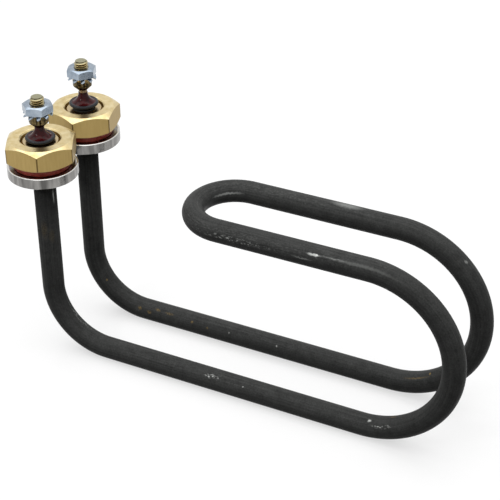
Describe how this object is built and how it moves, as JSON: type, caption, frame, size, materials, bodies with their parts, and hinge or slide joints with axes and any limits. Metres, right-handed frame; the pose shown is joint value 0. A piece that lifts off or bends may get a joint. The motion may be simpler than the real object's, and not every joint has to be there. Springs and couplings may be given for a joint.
{
  "type": "tubular heating element",
  "caption": "Tubular immersion heating element: a sheathed tube folded into a flat hairpin and twin U-turns, with threaded, gasketed bushings and screw terminals.",
  "frame": {"origin": "midway between the two legs' axes, in the plane of the flange faces that the gaskets seat on", "axes": "+Z out of the tank along the bushings and terminals, +X along the runs towards the U-turns, +Y from the front leg to the rear leg"},
  "size_m": [0.172, 0.0538, 0.1041],
  "materials": {
    "sheath_alloy": "annealed and darkened nickel-iron alloy tube, satin",
    "magnesia": "compacted mineral powder",
    "resistance_wire": "drawn nickel-chrome wire",
    "pin_steel": "drawn steel rod, heat tinted",
    "bushing_steel": "turned stainless steel, fine lathe marks",
    "braze_alloy": "silver braze, satin",
    "silicone_rubber": "moulded red silicone rubber",
    "nut_brass": "turned and milled brass, bright faces",
    "bead_resin": "glossy dark maroon sealing resin",
    "terminal_plate": "steel with worn yellow zinc plating",
    "zinc_plate": "bright blue zinc plated steel"
  },
  "bodies": {
    "root": {"sheath": "sheath_alloy", "magnesia_fill": "magnesia", "resistance_coil": "resistance_wire", "front_cold_pin": "pin_steel", "front_bushing": "bushing_steel", "front_braze_ring": "braze_alloy", "front_gasket": "silicone_rubber", "front_brass_nut": "nut_brass", "front_end_bead": "bead_resin", "front_terminal_stud": "terminal_plate", "front_lock_washer": "zinc_plate", "front_terminal_nut": "zinc_plate", "rear_cold_pin": "pin_steel", "rear_bushing": "bushing_steel", "rear_braze_ring": "braze_alloy", "rear_gasket": "silicone_rubber", "rear_brass_nut": "nut_brass", "rear_end_bead": "bead_resin", "rear_terminal_stud": "terminal_plate", "rear_lock_washer": "zinc_plate", "rear_terminal_nut": "zinc_plate"}
  },
  "joints": []
}
